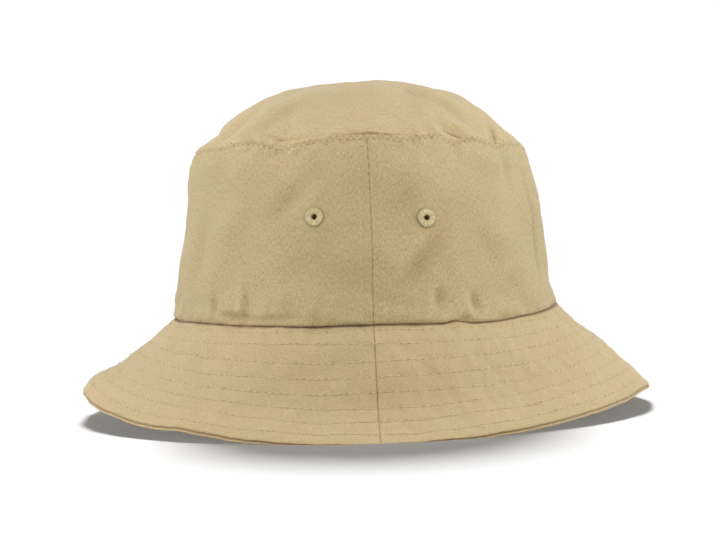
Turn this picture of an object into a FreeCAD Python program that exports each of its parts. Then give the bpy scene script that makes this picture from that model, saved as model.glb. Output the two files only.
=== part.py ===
import FreeCAD
import Part
import math
import os

# Bucket hat in cotton twill, as the cut and sewn pieces it is made of. Millimetres.
# Frame: +Z up, +X towards the front of the hat, side seams at -Y and +Y. The origin is under the
# middle of the crown, on the surface that the brim stands on.

Vector = FreeCAD.Vector

# ---- driving dimensions ----
BASE_HALF = (99.0, 89.0)        # crown at the brim seam, outside half length (X) and half width (Y)
TIP_HALF = (85.0, 76.0)         # crown at the tip seam
BASE_Z = 50.0                   # height of the brim seam
TIP_Z = 133.5                   # height of the tip seam at the front and rear
TIP_SIDE_LIFT = 4.0             # the tip seam runs this much higher over the side seams
DOME_RISE = 35.5                # from the tip seam to the top of the crown
DOME_POWER = 2.5                # how flat the top of the crown is
WALL_BULGE = 1.5                # the side wall swells outwards by this at mid height

# The brim's slope, as a curve that leaves the crown steeply and flares out to the edge.
# (reach outwards, fall, slope at the crown, slope at the edge, stiffness of both ends)
BRIM_AT_ENDS = (47.3, 38.6, 43.0, 26.0, 20.0)
BRIM_AT_SIDES = (36.0, 48.7, 46.0, 30.0, 24.0)
BRIM_WIDTH = 61.5               # along the cloth, from the brim seam to the edge

CLOTH = 0.6                     # twill
INTERLINING = 0.6
SWEATBAND = 0.9
TAPE = 0.4
LABEL = 0.3
LAYER_GAP = 0.05                # between layers that lie on each other
WALL_CUT_REACH = 10.0           # eyelet holes are cut this far each side of the wall
SEAM_GAP = 0.3                  # brim and sweatband stop this far from the brim seam
TIP_DROP = 0.72                 # upright thickness of the tip's cloth, which slopes at its edge
TIP_SEAM_GAP = 0.9              # the wall stops this far under the tip seam

TAPE_WIDTH = 12.0
TAPE_FROM_TIP = 1.3             # the crown tape's upper edge, below the tip seam
SWEATBAND_HEIGHT = 34.0
STRIP_END_GAP = 0.4             # between the butted ends of a strip that goes all round

BRIM_ROWS = 8
FIRST_ROW_FROM_CROWN = 3.0
LAST_ROW_FROM_EDGE = 5.5
SEAM_ROW_OFFSET = 5.0           # side seam stitching, each side of the seam
TIP_ROW_OFFSET = 1.3            # tip seam stitching, above and below the seam
THREAD_WIDTH = 0.5
THREAD_HEIGHT = 0.3

EYELET_FROM_SEAM = 26.0         # along the wall
EYELET_Z = 100.5
EYELET_RADIUS = 4.35
EYELET_HOLE = 1.25
EYELET_BARREL = 0.5             # thickness of the thread that lines the hole
EYELET_PROUD = 0.12             # gap left under the eyelet's rims for the wall's curve
EYELET_SWELL = 0.63             # each rim's rounded face rises by this
EYELET_LIP = 0.35               # and stands this far off the cloth where it turns into the hole

BRAND_LABEL = (40.0, 20.0)      # blank patch inside the crown, at the rear
BRAND_LABEL_Z = 102.0
CARE_LABEL = (22.0, 36.0)
CARE_LABEL_X = 3.5 - BASE_HALF[0]   # its stitched edge, just inside the sweatband's lower seam
CARE_LABEL_Z = BASE_Z - 0.6
CARE_LABEL_FOLD = 0.35          # radius of the folded, stitched edge

FRONT = (-math.pi / 2, math.pi / 2)
REAR = (math.pi / 2, 3 * math.pi / 2)
RIGHT_SEAM = -math.pi / 2       # the wearer's right is -Y
LEFT_SEAM = math.pi / 2
BRIM_STACK = 2 * CLOTH + INTERLINING + 2 * LAYER_GAP


# ---- the hat's skin: outside of the wall, tip and brim, as functions of angle and share upwards ----
def slope_curve(shape, samples=200):
    """Points along one brim profile, as (reach, fall), and the distance along it to each."""
    reach, fall, start, end, stiffness = shape
    start, end = math.radians(start), math.radians(end)
    ends = (Vector(0, 0, 0), Vector(reach, fall, 0))
    handles = (
        Vector(stiffness * math.cos(start), stiffness * math.sin(start), 0),
        ends[1] - Vector(stiffness * math.cos(end), stiffness * math.sin(end), 0),
    )
    curve = Part.BezierCurve()
    curve.setPoles([ends[0], *handles, ends[1]])
    points = [curve.value(i / samples) for i in range(samples + 1)]
    distance = [0.0]
    for a, b in zip(points, points[1:]):
        distance.append(distance[-1] + (b - a).Length)
    return points, distance


SLOPE_AT_ENDS = slope_curve(BRIM_AT_ENDS)
SLOPE_AT_SIDES = slope_curve(BRIM_AT_SIDES)


def along(slope, share):
    """(reach, fall) at a share of the profile's length, from the crown outwards."""
    points, distance = slope
    target = share * distance[-1]
    last = len(points) - 2
    i = next((k for k in range(last) if distance[k + 1] >= target), last)
    part = (target - distance[i]) / (distance[i + 1] - distance[i])
    point = points[i] + (points[i + 1] - points[i]) * part
    return point.x, point.y


def brim_skin(angle, up):
    """Top of the brim. up runs from 0 at the outer edge to 1 at the brim seam."""
    reach_end, fall_end = along(SLOPE_AT_ENDS, 1 - up)
    reach_side, fall_side = along(SLOPE_AT_SIDES, 1 - up)
    c, s = math.cos(angle), math.sin(angle)
    fall = fall_end * c * c + fall_side * s * s
    return Vector(
        (BASE_HALF[0] - SEAM_GAP + reach_end) * c,
        (BASE_HALF[1] - SEAM_GAP + reach_side) * s,
        BASE_Z - SEAM_GAP - fall,
    )


def wall_skin(angle, up):
    """Outside of the side wall. up runs from 0 at the brim seam to 1 at the tip seam."""
    c, s = math.cos(angle), math.sin(angle)
    swell = WALL_BULGE * 4 * up * (1 - up)
    half = [low + (high - low) * up + swell for low, high in zip(BASE_HALF, TIP_HALF)]
    top = TIP_Z + TIP_SIDE_LIFT * s * s
    return Vector(half[0] * c, half[1] * s, BASE_Z + (top - BASE_Z) * up)


def dome_height(x, y):
    across = y / TIP_HALF[1]
    out = math.hypot(x / TIP_HALF[0], across)
    return TIP_Z + TIP_SIDE_LIFT * across * across + DOME_RISE * (1 - out**DOME_POWER)


def tip_skin(angle, up):
    """Outside of the tip. up runs from 0 at the tip seam towards 1 at the top of the crown."""
    x = TIP_HALF[0] * (1 - up) * math.cos(angle)
    y = TIP_HALF[1] * (1 - up) * math.sin(angle)
    return Vector(x, y, dome_height(x, y))


def skin_normal(skin, angle, up):
    step = 1e-4
    round_hat = skin(angle + step, up) - skin(angle - step, up)
    upwards = skin(angle, up + step) - skin(angle, up - step)
    return round_hat.cross(upwards).normalize()


def wall_share(height_above_seam):
    """Share of the wall's height, for a height above the brim seam at the front or rear."""
    return height_above_seam / (TIP_Z - BASE_Z)


def angle_from(seam, offset, z):
    """Angle at a distance along the wall from a side seam, at height z."""
    share = wall_share(z - BASE_Z)
    half_length = BASE_HALF[0] + (TIP_HALF[0] - BASE_HALF[0]) * share
    return seam + offset / half_length


# ---- solids ----
def closed_solid(faces):
    shell = Part.makeShell(faces)
    shell.sewShape()
    solid = Part.makeSolid(shell)
    if solid.Volume < 0:
        solid.reverse()
    return solid


def layer(skin, angles, ups, depth, thickness, columns=25, rows=9):
    """A sheet that follows the skin, from depth under it to depth + thickness."""

    def face_surface(below):
        grid = []
        for i in range(columns):
            angle = angles[0] + (angles[1] - angles[0]) * i / (columns - 1)
            column = []
            for j in range(rows):
                up = ups[0] + (ups[1] - ups[0]) * j / (rows - 1)
                column.append(skin(angle, up) - skin_normal(skin, angle, up) * below)
            grid.append(column)
        surface = Part.BSplineSurface()
        surface.interpolate(grid)
        return surface

    outer, inner = face_surface(depth), face_surface(depth + thickness)
    u0, u1, v0, v1 = outer.bounds()
    faces = [outer.toShape(), inner.toShape()]
    for u in (u0, u1):
        faces.append(Part.makeRuledSurface(outer.uIso(u).toShape(), inner.uIso(u).toShape()))
    for v in (v0, v1):
        faces.append(Part.makeRuledSurface(outer.vIso(v).toShape(), inner.vIso(v).toShape()))
    return closed_solid(faces)


def above_table(solid):
    """Where the brim bears on the table, its lowest edge is pressed flat at z = 0."""
    size = 400.0
    under = Part.makeBox(size, size, size, Vector(-size / 2, -size / 2, -size))
    return solid.cut(under).Solids[0]


def all_round(half_length):
    """The angles of a strip that goes all round and butts end to end at the rear."""
    gap = STRIP_END_GAP / 2 / half_length
    return (-math.pi + gap, math.pi - gap)


def thread(skin, angles, up, skin_height, depth, columns=49):
    """A line of stitching that goes round at one height, lying on the skin or under the cloth."""
    half = THREAD_WIDTH / 2 / skin_height
    return layer(skin, angles, (up - half, up + half), depth, THREAD_HEIGHT, columns, 4)


# ---- crown ----
def crown_tip():
    """The dome is shaped on a rectangle a little larger than the tip, then cut out along the tip seam."""
    overhang = 2.0
    columns, rows = 27, 25
    grid = []
    for i in range(columns):
        x = (TIP_HALF[0] + overhang) * (2 * i / (columns - 1) - 1)
        ys = [(TIP_HALF[1] + overhang) * (2 * j / (rows - 1) - 1) for j in range(rows)]
        grid.append([Vector(x, y, dome_height(x, y)) for y in ys])
    surface = Part.BSplineSurface()
    surface.interpolate(grid)
    sheet = surface.toShape().extrude(Vector(0, 0, -TIP_DROP))
    half_length, half_width = [half - 2 * LAYER_GAP for half in TIP_HALF]
    edge = Part.Ellipse(Vector(half_length, 0, 0), Vector(0, half_width, 0), Vector())
    outline = Part.Face(Part.Wire(edge.toShape()))
    cutter = outline.extrude(Vector(0, 0, TIP_Z + 2 * DOME_RISE))
    return sheet.common(cutter).Solids[0]


def eyelet_place(seam, side):
    angle = angle_from(seam, side * EYELET_FROM_SEAM, EYELET_Z)
    up = (EYELET_Z - BASE_Z) / (TIP_Z + TIP_SIDE_LIFT * math.sin(angle) ** 2 - BASE_Z)
    return wall_skin(angle, up), skin_normal(wall_skin, angle, up)


def side_panel(half):
    panel = layer(wall_skin, half, (0.0, 1 - wall_share(TIP_SEAM_GAP)), 0.0, CLOTH)
    hole = EYELET_HOLE + EYELET_BARREL + 2 * LAYER_GAP
    for seam in (RIGHT_SEAM, LEFT_SEAM):
        for side in (-1, 1):
            point, out = eyelet_place(seam, side)
            if (point.x > 0) == (half == FRONT):
                start = point - out * WALL_CUT_REACH
                panel = panel.cut(Part.makeCylinder(hole, 2 * WALL_CUT_REACH, start, out))
    return panel.Solids[0]


def eyelet(seam, side):
    """Thread worked round a vent hole: a rim outside, a rim inside and a lining through the cloth."""
    point, out = eyelet_place(seam, side)
    barrel = EYELET_HOLE + EYELET_BARREL
    outside, inside = EYELET_PROUD, -CLOTH - EYELET_PROUD
    rim, inner_rim = EYELET_RADIUS, EYELET_RADIUS - EYELET_BARREL
    corners = [
        (EYELET_HOLE, outside + EYELET_LIP),
        (rim, outside),
        (barrel, outside),
        (barrel, inside),
        (inner_rim, inside),
        (EYELET_HOLE, inside - EYELET_LIP),
    ]
    at = [Vector(r, 0, w) for r, w in corners]
    crown_of_rim = Vector((EYELET_HOLE + rim) / 2, 0, outside + EYELET_SWELL)
    crown_inside = Vector((EYELET_HOLE + inner_rim) / 2, 0, inside - EYELET_SWELL)
    edges = [
        Part.Arc(at[0], crown_of_rim, at[1]).toShape(),
        Part.makeLine(at[1], at[2]),
        Part.makeLine(at[2], at[3]),
        Part.makeLine(at[3], at[4]),
        Part.Arc(at[4], crown_inside, at[5]).toShape(),
        Part.makeLine(at[5], at[0]),
    ]
    ring = Part.Face(Part.Wire(edges)).revolve(Vector(), Vector(0, 0, 1), 360)
    ring.Placement = FreeCAD.Placement(point, FreeCAD.Rotation(Vector(0, 0, 1), out))
    return ring


def crown_seam_tape():
    top = 1 - wall_share(TAPE_FROM_TIP)
    bottom = top - wall_share(TAPE_WIDTH)
    return layer(wall_skin, all_round(TIP_HALF[0]), (bottom, top), CLOTH + LAYER_GAP, TAPE, 49)


def side_seam_tape(seam):
    half = TAPE_WIDTH / 2 / BASE_HALF[0]
    bottom = wall_share(SEAM_GAP)
    top = 1 - wall_share(TAPE_FROM_TIP + TAPE_WIDTH + LAYER_GAP)
    return layer(wall_skin, (seam - half, seam + half), (bottom, top), CLOTH + LAYER_GAP, TAPE, 7)


def sweatband():
    depth = CLOTH + TAPE + 3 * LAYER_GAP
    ups = (wall_share(SEAM_GAP), wall_share(SEAM_GAP + SWEATBAND_HEIGHT))
    return layer(wall_skin, all_round(BASE_HALF[0]), ups, depth, SWEATBAND, 49)


def sweatband_stitch():
    depth = CLOTH + TAPE + 4 * LAYER_GAP + SWEATBAND
    up = wall_share(SEAM_GAP + 2.0)
    return thread(wall_skin, all_round(BASE_HALF[0]), up, TIP_Z - BASE_Z, depth)


def brand_label():
    width, height = BRAND_LABEL
    half = width / 2 / TIP_HALF[1]
    ups = [wall_share(BRAND_LABEL_Z - BASE_Z + k * height / 2) for k in (-1, 1)]
    return layer(wall_skin, (math.pi - half, math.pi + half), ups, CLOTH + LAYER_GAP, LABEL, 7, 5)


def care_label():
    width, length = CARE_LABEL
    corner = Vector(CARE_LABEL_X - LABEL / 2, -width / 2, CARE_LABEL_Z - length)
    flap = Part.makeBox(LABEL, width, length, corner)
    fold_end = Vector(CARE_LABEL_X, -width / 2, CARE_LABEL_Z)
    fold = Part.makeCylinder(CARE_LABEL_FOLD, width, fold_end, Vector(0, 1, 0))
    return flap.fuse(fold).Solids[0]


# ---- brim ----
def brim_layer(half, depth, thickness, edge_margin=0.0):
    sheet = layer(brim_skin, half, (edge_margin / BRIM_WIDTH, 1.0), depth, thickness, 25, 13)
    return above_table(sheet)


def brim_stitch_row(index):
    """One row of lockstitch: the needle thread on top and the bobbin thread underneath."""
    spread = BRIM_WIDTH - FIRST_ROW_FROM_CROWN - LAST_ROW_FROM_EDGE
    from_crown = FIRST_ROW_FROM_CROWN + spread * index / (BRIM_ROWS - 1)
    up = 1 - from_crown / BRIM_WIDTH
    angles = all_round(BASE_HALF[0])
    return [
        thread(brim_skin, angles, up, BRIM_WIDTH, depth)
        for depth in (-THREAD_HEIGHT - LAYER_GAP, BRIM_STACK + LAYER_GAP)
    ]


# ---- seam stitching on the crown ----
def tip_seam_stitch_above():
    depth_out = -THREAD_HEIGHT - LAYER_GAP
    up = TIP_ROW_OFFSET / TIP_HALF[0]
    return thread(tip_skin, all_round(TIP_HALF[0]), up, TIP_HALF[0], depth_out)


def tip_seam_stitch_below():
    angles = all_round(TIP_HALF[0])
    height = TIP_Z - BASE_Z
    outside = thread(wall_skin, angles, 1 - TIP_ROW_OFFSET / height, height, -THREAD_HEIGHT - LAYER_GAP)
    bobbin_depth = CLOTH + TAPE + 2 * LAYER_GAP
    inside = thread(wall_skin, angles, 1 - (TIP_ROW_OFFSET + 2.0) / height, height, bobbin_depth)
    return [outside, inside]


def side_seam_stitch(seam):
    """Two upright rows, one each side of a side seam, with their bobbin threads on the tape."""
    half = THREAD_WIDTH / 2 / BASE_HALF[0]
    offset = SEAM_ROW_OFFSET / BASE_HALF[0]
    top = 1 - wall_share(TAPE_FROM_TIP + TAPE_WIDTH + 1.0)
    rows = []
    for side in (-1, 1):
        middle = seam + side * offset
        angles = (middle - half, middle + half)
        outer_ups = (wall_share(1.0), 1 - wall_share(TIP_ROW_OFFSET + 1.0))
        inner_ups = (wall_share(SEAM_GAP + SWEATBAND_HEIGHT + 1.0), top)
        rows.append(layer(wall_skin, angles, outer_ups, -THREAD_HEIGHT - LAYER_GAP, THREAD_HEIGHT, 4, 9))
        rows.append(layer(wall_skin, angles, inner_ups, CLOTH + TAPE + 2 * LAYER_GAP, THREAD_HEIGHT, 4, 9))
    return rows


def hat():
    under_depth = CLOTH + INTERLINING + 2 * LAYER_GAP
    parts = {
        "crown_tip": crown_tip(),
        "side_panel_front": side_panel(FRONT),
        "side_panel_rear": side_panel(REAR),
        "crown_seam_tape": crown_seam_tape(),
        "side_seam_tape_right": side_seam_tape(RIGHT_SEAM),
        "side_seam_tape_left": side_seam_tape(LEFT_SEAM),
        "sweatband": sweatband(),
        "sweatband_stitch": sweatband_stitch(),
        "tip_seam_stitch_above": tip_seam_stitch_above(),
        "tip_seam_stitch_below": tip_seam_stitch_below(),
        "side_seam_stitch_right": side_seam_stitch(RIGHT_SEAM),
        "side_seam_stitch_left": side_seam_stitch(LEFT_SEAM),
        "eyelet_right_front": eyelet(RIGHT_SEAM, 1),
        "eyelet_right_rear": eyelet(RIGHT_SEAM, -1),
        "eyelet_left_front": eyelet(LEFT_SEAM, -1),
        "eyelet_left_rear": eyelet(LEFT_SEAM, 1),
        "brand_label": brand_label(),
        "care_label": care_label(),
    }
    for name, half in (("front", FRONT), ("rear", REAR)):
        parts["brim_top_" + name] = brim_layer(half, 0.0, CLOTH)
        parts["brim_interlining_" + name] = brim_layer(half, CLOTH + LAYER_GAP, INTERLINING, 1.5)
        parts["brim_under_" + name] = brim_layer(half, under_depth, CLOTH)
    for index in range(BRIM_ROWS):
        parts[f"brim_stitch_row_{index + 1}"] = brim_stitch_row(index)
    return parts


os.makedirs("parts", exist_ok=True)
print("brim width along the cloth", [round(s[1][-1], 1) for s in (SLOPE_AT_ENDS, SLOPE_AT_SIDES)])
for name, shape in hat().items():
    solids = shape if isinstance(shape, list) else [shape]
    whole = Part.makeCompound(solids) if len(solids) > 1 else solids[0]
    whole.exportStep(f"parts/{name}.step")
    valid = all(s.isValid() and s.Volume > 0 for s in solids)
    print(name, len(solids), "ok" if valid else "BAD", round(sum(s.Volume for s in solids), 1))
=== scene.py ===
import math

import bpy
import numpy as np
from mathutils import Matrix, Vector


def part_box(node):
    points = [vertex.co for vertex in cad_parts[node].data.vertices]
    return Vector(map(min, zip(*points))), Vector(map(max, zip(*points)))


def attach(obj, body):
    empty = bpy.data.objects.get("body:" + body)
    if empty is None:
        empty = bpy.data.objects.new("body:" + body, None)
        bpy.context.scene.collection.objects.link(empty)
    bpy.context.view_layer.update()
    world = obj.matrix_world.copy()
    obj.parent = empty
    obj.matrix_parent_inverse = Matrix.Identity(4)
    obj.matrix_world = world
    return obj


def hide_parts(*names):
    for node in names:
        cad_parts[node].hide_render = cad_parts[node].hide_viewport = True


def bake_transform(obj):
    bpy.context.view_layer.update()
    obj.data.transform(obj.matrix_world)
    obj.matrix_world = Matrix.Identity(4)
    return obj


# A bucket hat in khaki cotton twill, sewn from separate cloth pieces, standing on its brim.
# The hat's lengths are in millimetres until mesh_object() makes metres of them; the lights and the
# camera are placed in metres. A place on the hat is an angle round the crown (from +X, towards +Y)
# and a share up one piece of cloth: the brim from its edge to the crown, the side wall from the
# brim seam to the tip seam, the tip from there to the top.

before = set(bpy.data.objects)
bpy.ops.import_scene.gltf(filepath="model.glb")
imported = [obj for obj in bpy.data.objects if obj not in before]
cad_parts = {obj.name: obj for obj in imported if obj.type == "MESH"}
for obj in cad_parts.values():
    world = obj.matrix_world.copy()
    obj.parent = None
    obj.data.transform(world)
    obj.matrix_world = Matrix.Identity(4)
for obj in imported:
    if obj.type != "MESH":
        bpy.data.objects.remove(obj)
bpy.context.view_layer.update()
MM = 0.001
TURN = 2 * math.pi
FRONT = (-math.pi / 2, math.pi / 2)
REAR = (math.pi / 2, 3 * math.pi / 2)
RIGHT_SEAM = -math.pi / 2           # the side that faces the camera
LEFT_SEAM = math.pi / 2
SIDE_SEAMS = (("right", RIGHT_SEAM), ("left", LEFT_SEAM))


def cad_corners(node):
    """A node's lowest and highest corners, in millimetres."""
    low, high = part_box(node)
    return np.array(low) / MM, np.array(high) / MM


# ---- sizes read from the CAD frame ----
wall_low, wall_high = cad_corners("side_panel_front")
tip_low, tip_high = cad_corners("crown_tip")
brim_low, brim_high = cad_corners("brim_top_front")
_, sweat_high = cad_corners("sweatband")
eyelet_low, eyelet_high = cad_corners("eyelet_right_front")
brand_low, brand_high = cad_corners("brand_label")
care_low, care_high = cad_corners("care_label")

BASE_HALF = wall_high[:2]                       # crown at the brim seam, half length and width
BASE_Z = wall_low[2]
TIP_HALF = tip_high[:2]
TIP_BELOW_SEAM = 0.72                           # the tip's cloth reaches this far below the tip seam
TIP_Z = tip_low[2] + TIP_BELOW_SEAM
TIP_SIDE_LIFT = 4.0
DOME_RISE = tip_high[2] - TIP_Z
DOME_POWER = 2.5
WALL_HEIGHT = TIP_Z - BASE_Z
WALL_BULGE = 1.5
SHOULDER = 1.2                                  # the wall rolls in towards the tip seam by this
SEAM_GAP = 0.3
EDGE_FALL_AT_ENDS = 38.6
EDGE_ABOVE_LOWEST = 0.52                        # the brim's skin at its edge, above its cloth's low point
EDGE_FALL_AT_SIDES = BASE_Z - SEAM_GAP - brim_low[2] - EDGE_ABOVE_LOWEST
BRIM_WIDTH = 61.4
# reach outwards, fall, slope at the crown, slope at the edge, stiffness of both ends
BRIM_AT_ENDS = (brim_high[0] - BASE_HALF[0] + SEAM_GAP, EDGE_FALL_AT_ENDS, 43.0, 26.0, 20.0)
BRIM_AT_SIDES = (brim_high[1] - BASE_HALF[1] + SEAM_GAP, EDGE_FALL_AT_SIDES, 46.0, 30.0, 24.0)
CROWN_PER_RADIAN = 93.0                         # cloth round the crown, in mm per radian
TIP_PER_RADIAN = 80.0                           # and round the tip near its seam
BRIM_PER_RADIAN = 120.0                         # and round the middle of the brim
LABEL_PER_RADIAN = 88.0                         # and inside the rear of the crown, where it is tightest

BRIM_ROWS = 8
FIRST_ROW = 3.0                                 # from the crown, along the cloth
LAST_ROW = BRIM_WIDTH - 5.5
ROW_SPACING = (LAST_ROW - FIRST_ROW) / (BRIM_ROWS - 1)
SEAM_ROW_OFFSET = 5.0
TIP_ROW_OFFSET = 0.9
STITCH = 3.5                                    # needle hole to needle hole
TIP_STITCH = 3.2
THREAD = 0.21                                   # radius

TWILL = 0.6                                     # thickness
BRIM_UPPER = (0.55, 1.0)                        # thickness of one layer, and where it is turned under
BRIM_LOWER = (0.5, 0.85)
BRIM_UNDER_DEPTH = 1.06                         # the under cloth's upper face, below the brim's skin
BRIM_ALLOWANCE = 1.8                            # the upper cloth goes this far in under the side wall
UNDER_SHOWS = 0.9                               # the under cloth's edge shows this far past the upper's
EYELET_CENTRE = (eyelet_low + eyelet_high) / 2
EYELET_RADIUS = (eyelet_high[2] - eyelet_low[2]) / 2
EYELET_HOLE = 1.22                              # radius of the hole that is left in the middle
WALL_HOLE = 1.9                                 # radius of the hole in the cloth, which the threads cover
EYELET_SIGNS = ((-1, -1), (-1, 1), (1, -1), (1, 1))


# ---- smooth seeded unevenness ----
def lumps(points, length, seed, terms=10):
    """Gentle unevenness of about +-1, with humps about half of length apart, at 3-D points."""
    rng = np.random.default_rng(seed)
    total = np.zeros(points.shape[:-1])
    for _ in range(terms):
        direction = rng.normal(size=3)
        direction /= np.linalg.norm(direction)
        wave = TURN / (length * rng.uniform(0.75, 1.5))
        total += np.sin(points @ direction * wave + rng.uniform(0, TURN))
    return total / math.sqrt(terms / 2)


def hump(x, width):
    return np.exp(-((x / width) ** 2))


def turned(angle, seam):
    """Angle from a seam, between -pi and pi."""
    return (angle - seam + math.pi) % TURN - math.pi


def near_seam_distance(angle):
    """Distance along the cloth to the nearer side seam."""
    nearest = np.minimum(abs(turned(angle, RIGHT_SEAM)), abs(turned(angle, LEFT_SEAM)))
    return nearest * BASE_HALF[0]


def brim_seam_distance(angle, up):
    """The same on the brim, which is longer round towards its edge."""
    return near_seam_distance(angle) * (1 + 0.4 * (1 - up))


# ---- large shape: the skins before any relief ----
def slope_curve(shape, samples=200):
    """A section down the brim as a Bezier curve: distance along it (share), reach and fall."""
    reach, fall, start, end, stiffness = shape
    start, end = math.radians(start), math.radians(end)
    last = np.array([reach, fall])
    leave = stiffness * np.array([math.cos(start), math.sin(start)])
    arrive = last - stiffness * np.array([math.cos(end), math.sin(end)])
    t = np.linspace(0, 1, samples)[:, None]
    points = 3 * (1 - t) ** 2 * t * leave + 3 * (1 - t) * t**2 * arrive + t**3 * last
    steps = np.linalg.norm(np.diff(points, axis=0), axis=1)
    distance = np.concatenate([[0], np.cumsum(steps)])
    return distance / distance[-1], points[:, 0], points[:, 1]


SLOPE_AT_ENDS = slope_curve(BRIM_AT_ENDS)
SLOPE_AT_SIDES = slope_curve(BRIM_AT_SIDES)

# waves in the brim: angle from the side seam in degrees, half width in degrees,
# where out from the crown (share), how wide there (share), rise, and reach
BRIM_WAVES = [
    (-5, 42, 0.16, 0.09, 1.5, 0.0),
    (-5, 46, 0.60, 0.24, -2.1, 0.0),
    (6, 34, 1.00, 0.25, -1.0, 4.6),
    (-50, 9, 1.00, 0.25, -1.6, 0.0),
    (-36, 8, 1.00, 0.25, 1.4, 0.0),
    (-88, 16, 0.92, 0.14, 1.6, 1.5),
    (36, 13, 1.00, 0.30, 1.2, 0.0),
    (90, 12, 0.80, 0.20, 1.6, 0.0),
    (-90, 24, 0.66, 0.34, 4.4, 0.0),
    (-94, 26, 0.84, 0.16, 2.0, 0.0),
    (-86, 14, 0.98, 0.16, 2.2, -0.8),
    (-54, 16, 1.00, 0.30, 2.3, 0.0),
    (88, 26, 0.55, 0.30, 3.4, 0.0),
    (64, 12, 1.00, 0.30, 2.6, 0.0),
    (48, 9, 1.00, 0.30, 0.6, 0.0),
    (78, 7, 1.00, 0.14, -0.9, -1.2),
    (100, 15, 1.00, 0.25, -2.5, -7.0),
    (180, 40, 0.60, 0.24, -1.5, 0.0),
    (150, 14, 1.00, 0.40, 2.0, 0.0),
    (-140, 18, 1.00, 0.40, 2.2, 0.0),
    (115, 12, 1.00, 0.40, -1.5, 0.0),
    (-112, 12, 1.00, 0.40, -1.0, 0.0),
]
# how the two seams of the crown wander: angle from the side seam, half width, rise
BRIM_SEAM_WANDER = [
    (-20, 9, -0.3), (-56, 12, 0.5), (34, 14, -1.8), (17, 6, -0.5),
    (23.5, 3, 1.2), (78, 14, 2.0), (140, 12, 0.8), (-120, 15, -0.8),
]
TIP_SEAM_WANDER = [
    (-29, 5.5, -2.5), (-23, 8, -1.3), (-44, 6, 1.3), (11, 6, -1.2), (24, 3, 1.3),
    (30, 4.5, -2.6), (41, 5, -0.4), (50, 5, -3.8), (62, 7, -1.2), (80, 9, -2.4),
    (130, 12, -2.2), (-130, 14, -1.8), (-95, 14, -1.0),
]
TIP_SHIFT = -1.3                                # the crown leans this far to the rear on its way up
WALL_TWIST = 0.016                              # the side seam leans by this angle on its way up


def from_side_seam(angle, degrees):
    """Angle from a place given in degrees from the side seam that faces the camera."""
    return turned(angle, RIGHT_SEAM + math.radians(degrees))


def wander(angle, places):
    total = np.zeros(np.shape(angle))
    for degrees, width, rise in places:
        total = total + rise * hump(from_side_seam(angle, degrees), math.radians(width))
    return total


def brim_base(angle, up):
    out = 1 - up
    beyond = np.maximum(out - 1, 0)
    under_crown = np.maximum(-out, 0) * BRIM_WIDTH      # its seam allowance lies flat under the wall
    share, end_x, end_z = SLOPE_AT_ENDS
    _, side_x, side_z = SLOPE_AT_SIDES
    reach_end = np.interp(out, share, end_x)
    fall_end = np.interp(out, share, end_z)
    reach_side = np.interp(out, share, side_x)
    fall_side = np.interp(out, share, side_z)
    c, s = np.cos(angle), np.sin(angle)
    fall = fall_end * c**2 + fall_side * s**2 + beyond * BRIM_WIDTH * 0.5 + 0.1 * under_crown
    extra = beyond * BRIM_WIDTH * 0.87 - under_crown
    lift = wander(angle, BRIM_SEAM_WANDER) * np.clip(up, 0, 1) ** 8
    for degrees, width, at, spread, rise, stretch in BRIM_WAVES:
        near = hump(from_side_seam(angle, degrees), math.radians(width))
        near = near * hump(out - at, spread) * np.clip(out / 0.06, 0, 1)
        lift = lift + near * rise
        extra = extra + near * stretch
    x = (BASE_HALF[0] - SEAM_GAP + reach_end + extra) * c
    y = (BASE_HALF[1] - SEAM_GAP + reach_side + extra) * s
    return np.stack([x, y, BASE_Z - SEAM_GAP - fall + lift], axis=-1)


def wall_base(angle, up):
    c, s = np.cos(angle + WALL_TWIST * up), np.sin(angle + WALL_TWIST * up)
    swell = WALL_BULGE * 4 * up * (1 - up) + SHOULDER * (1 - hump((1 - up) * WALL_HEIGHT, 8.0)) * up**2
    half_x = BASE_HALF[0] + (TIP_HALF[0] - BASE_HALF[0]) * up + swell
    half_y = BASE_HALF[1] + (TIP_HALF[1] - BASE_HALF[1]) * up + swell
    bottom = BASE_Z + wander(angle, BRIM_SEAM_WANDER)
    top = TIP_Z + TIP_SIDE_LIFT * s**2 + wander(angle, TIP_SEAM_WANDER)
    return np.stack([half_x * c + TIP_SHIFT * up**3, half_y * s, bottom + (top - bottom) * up], axis=-1)


def tip_base(angle, up):
    c, s = np.cos(angle + WALL_TWIST), np.sin(angle + WALL_TWIST)
    out = 1 - up
    x = TIP_HALF[0] * out * c + TIP_SHIFT * out**2
    y = TIP_HALF[1] * out * s
    seam = wander(angle, TIP_SEAM_WANDER) * np.clip(out, 0, 2) ** 5
    lean = -1.0 + 1.2 * hump(x - 52, 22) + 0.9 * hump(x + 48, 18) - 0.6 * hump(x + 74, 10)
    z = TIP_Z + TIP_SIDE_LIFT * (out * s) ** 2 + DOME_RISE * (1 - np.abs(out) ** DOME_POWER) + seam
    return np.stack([x, y, z + lean * np.clip(up / 0.12, 0, 1)], axis=-1)


def normals(skin, angle, up):
    """Which way is out of the hat, for points of a skin."""
    step = 1e-3
    round_hat = skin(angle + step, up) - skin(angle - step, up)
    upwards = skin(angle, up + step) - skin(angle, up - step)
    n = np.cross(round_hat, upwards)
    return n / np.maximum(np.linalg.norm(n, axis=-1, keepdims=True), 1e-12)


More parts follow.
